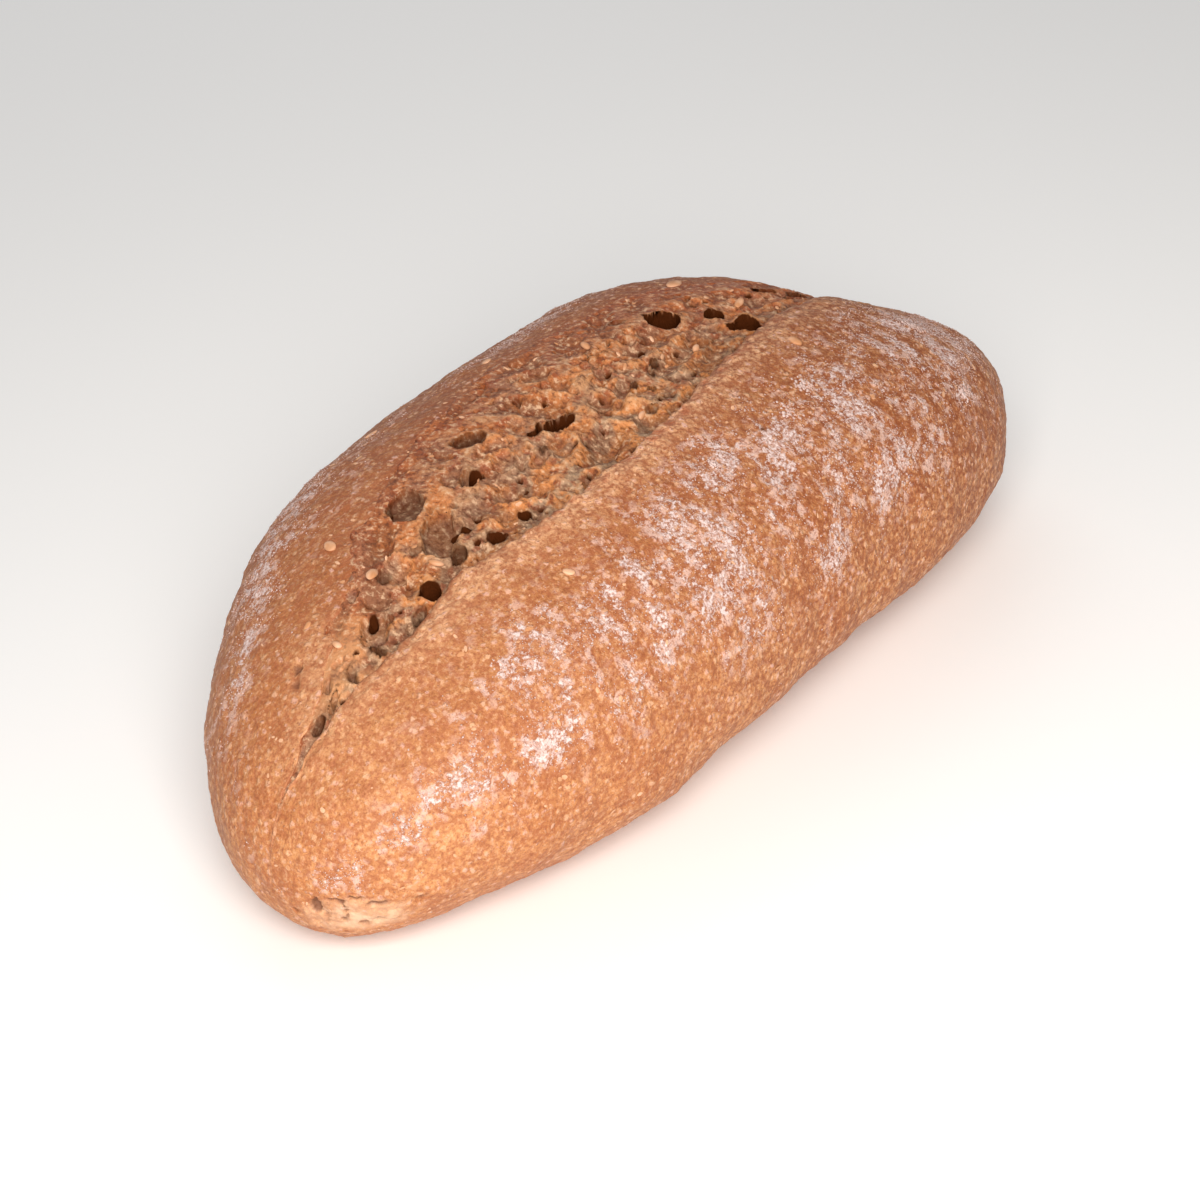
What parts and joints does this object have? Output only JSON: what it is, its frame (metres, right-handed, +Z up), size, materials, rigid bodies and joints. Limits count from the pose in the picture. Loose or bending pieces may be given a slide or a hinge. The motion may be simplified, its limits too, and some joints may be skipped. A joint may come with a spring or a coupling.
{
  "type": "wholemeal roll",
  "caption": "Long oval wholemeal bread roll with a browned, flour-dusted crust, a flat base and one lengthwise slash torn open to show coarse, pored crumb.",
  "frame": {"origin": "middle of the flat base that the roll rests on, at the middle of its length and width", "axes": "+X along the roll, from its lower near end to its blunt far end; +Z up; -Y is the side with the undercut lip of the slash"},
  "size_m": [0.15, 0.0768, 0.0443],
  "materials": {
    "crust": "matte",
    "crumb": "matte",
    "grain": "matte",
    "flour": "matte"
  },
  "bodies": {
    "root": {"roll": "crust"}
  },
  "joints": []
}
